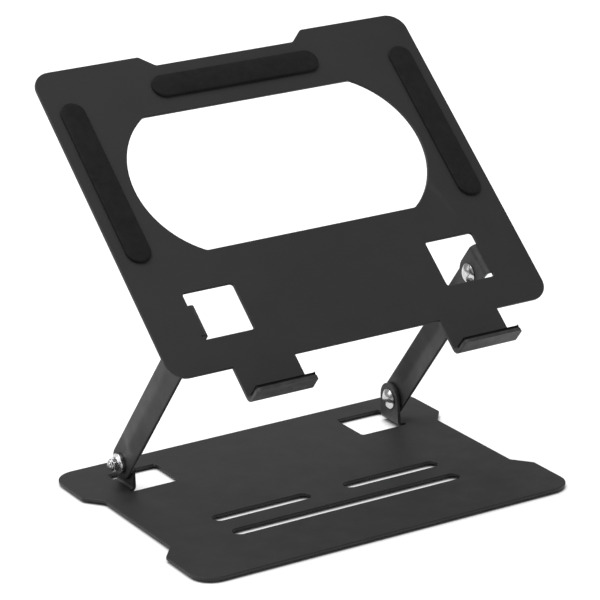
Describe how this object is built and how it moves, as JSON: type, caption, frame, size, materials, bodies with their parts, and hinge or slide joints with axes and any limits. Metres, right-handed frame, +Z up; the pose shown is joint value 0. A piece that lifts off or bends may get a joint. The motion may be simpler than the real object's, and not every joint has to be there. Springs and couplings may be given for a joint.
{
  "type": "laptop stand",
  "caption": "Folding sheet-metal laptop stand: a flat base with bent ears, twin swing arms and a tilting top plate with pads, an air opening and support lips.",
  "frame": {"origin": "on the desk, under the middle of the base plate", "axes": "+X to the right, along the hinge axes and the plates' long sides; +Y to the rear; +Z up"},
  "size_m": [0.26, 0.1985, 0.2612],
  "materials": {
    "powder_coat": "matt fine powder coat",
    "pad_rubber": "matt",
    "foot_rubber": "matt",
    "bright_steel": "bright turned",
    "washer_plastic": "satin"
  },
  "bodies": {
    "base": {"base_plate": "powder_coat", "front_left_foot": "foot_rubber", "front_right_foot": "foot_rubber", "rear_left_foot": "foot_rubber", "rear_right_foot": "foot_rubber", "lower_left_screw": "bright_steel", "lower_left_friction_washer": "washer_plastic", "lower_left_disc_washer": "bright_steel", "lower_left_lock_nut": "bright_steel", "lower_right_screw": "bright_steel", "lower_right_friction_washer": "washer_plastic", "lower_right_disc_washer": "bright_steel", "lower_right_lock_nut": "bright_steel"},
    "arms": {"left_arm": "powder_coat", "right_arm": "powder_coat"},
    "upper_pivots": {"upper_left_screw": "bright_steel", "upper_left_friction_washer": "washer_plastic", "upper_left_disc_washer": "bright_steel", "upper_left_lock_nut": "bright_steel", "upper_right_screw": "bright_steel", "upper_right_friction_washer": "washer_plastic", "upper_right_disc_washer": "bright_steel", "upper_right_lock_nut": "bright_steel"},
    "top_plate": {"top_plate": "powder_coat", "top_pad": "pad_rubber", "left_pad": "pad_rubber", "right_pad": "pad_rubber", "left_lip_pad": "pad_rubber", "right_lip_pad": "pad_rubber"}
  },
  "joints": [
    {"name": "arm_fold", "type": "hinge", "parent": "base", "child": "arms", "pos_m": [0, 0.0598, 0.0178], "axis": [1, 0, 0], "range_deg": [-25, 49.2]},
    {"name": "plate_fold", "type": "hinge", "parent": "arms", "child": "upper_pivots", "pos_m": [0, -0.0358, 0.12855], "axis": [1, 0, 0], "range_deg": [-89.9, 45.8]},
    {"name": "plate_tilt", "type": "hinge", "parent": "upper_pivots", "child": "top_plate", "pos_m": [0, -0.0358, 0.12855], "axis": [1, 0, 0], "range_deg": [0, 25]}
  ],
  "couplings": [
    {"joint": "plate_fold", "follows": "arm_fold", "ratio": -1.8252}
  ]
}
